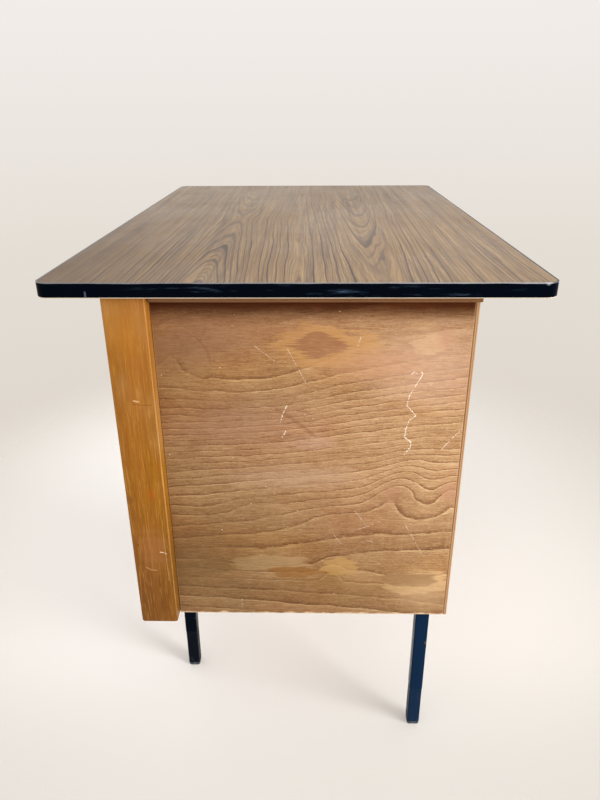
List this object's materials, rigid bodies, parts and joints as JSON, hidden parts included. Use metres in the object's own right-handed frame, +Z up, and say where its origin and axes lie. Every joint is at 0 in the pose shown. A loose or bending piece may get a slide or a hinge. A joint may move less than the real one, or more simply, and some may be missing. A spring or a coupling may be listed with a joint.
{
  "type": "writing desk",
  "caption": "Writing desk with a laminated top, a wooden drawer pedestal at one end and a frame of square steel tube.",
  "frame": {"origin": "on the floor, under the centre of the tabletop", "axes": "+X along the desk towards the pedestal (a sitter's right), +Y from the drawer fronts to the rear, +Z up"},
  "size_m": [0.95, 0.6, 0.75],
  "materials": {
    "laminate": "satin wood-print laminate, brown with dark grain lines along the desk",
    "particle_board": "raw particle board",
    "backing_sheet": "pale balancing sheet",
    "edge_plastic": "glossy blue-black plastic",
    "beech_plywood": "rotary-cut beech veneer, thin worn varnish",
    "lacquered_beech": "orange lacquered solid beech",
    "plain_plywood": "plain sealed beech and plywood",
    "black_steel": "gloss blue-black enamel on steel",
    "glide_plastic": "dark grey moulded plastic"
  },
  "bodies": {
    "desk": {"tabletop_laminate": "laminate", "tabletop_core_board": "particle_board", "tabletop_backing_sheet": "backing_sheet", "tabletop_edge_band": "edge_plastic", "pedestal_outer_side_panel": "beech_plywood", "pedestal_inner_side_panel": "beech_plywood", "pedestal_top_board": "beech_plywood", "pedestal_floor_board": "plain_plywood", "pedestal_back_panel": "beech_plywood", "pedestal_outer_stile": "lacquered_beech", "pedestal_inner_stile": "lacquered_beech", "pedestal_top_rail": "lacquered_beech", "pedestal_bottom_rail": "lacquered_beech", "lower_drawer_outer_runner": "plain_plywood", "lower_drawer_inner_runner": "plain_plywood", "middle_drawer_outer_runner": "plain_plywood", "middle_drawer_inner_runner": "plain_plywood", "upper_drawer_outer_runner": "plain_plywood", "upper_drawer_inner_runner": "plain_plywood", "pedestal_front_leg": "black_steel", "pedestal_front_ferrule": "edge_plastic", "pedestal_front_glide": "glide_plastic", "pedestal_rear_leg": "black_steel", "pedestal_rear_ferrule": "edge_plastic", "pedestal_rear_glide": "glide_plastic", "far_front_leg": "black_steel", "far_front_ferrule": "edge_plastic", "far_front_glide": "glide_plastic", "far_rear_leg": "black_steel", "far_rear_ferrule": "edge_plastic", "far_rear_glide": "glide_plastic", "subframe_front_tube": "black_steel", "subframe_rear_tube": "black_steel", "subframe_outer_tube": "black_steel", "subframe_inner_tube": "black_steel", "far_cross_tube": "black_steel", "front_rail_tube": "black_steel", "rear_rail_tube": "black_steel", "front_rail_bracket": "black_steel", "rear_rail_bracket": "black_steel"},
    "lower_drawer": {"lower_drawer_front": "lacquered_beech", "lower_drawer_outer_side": "plain_plywood", "lower_drawer_inner_side": "plain_plywood", "lower_drawer_back": "plain_plywood", "lower_drawer_bottom": "plain_plywood", "lower_drawer_pull": "black_steel"},
    "middle_drawer": {"middle_drawer_front": "lacquered_beech", "middle_drawer_outer_side": "plain_plywood", "middle_drawer_inner_side": "plain_plywood", "middle_drawer_back": "plain_plywood", "middle_drawer_bottom": "plain_plywood", "middle_drawer_pull": "black_steel"},
    "upper_drawer": {"upper_drawer_front": "lacquered_beech", "upper_drawer_outer_side": "plain_plywood", "upper_drawer_inner_side": "plain_plywood", "upper_drawer_back": "plain_plywood", "upper_drawer_bottom": "plain_plywood", "upper_drawer_pull": "black_steel"}
  },
  "joints": [
    {"name": "lower_drawer_slide", "type": "slide", "parent": "desk", "child": "lower_drawer", "axis": [0, -1, 0], "range_m": [0, 0.3]},
    {"name": "middle_drawer_slide", "type": "slide", "parent": "desk", "child": "middle_drawer", "axis": [0, -1, 0], "range_m": [0, 0.3]},
    {"name": "upper_drawer_slide", "type": "slide", "parent": "desk", "child": "upper_drawer", "axis": [0, -1, 0], "range_m": [0, 0.3]}
  ]
}
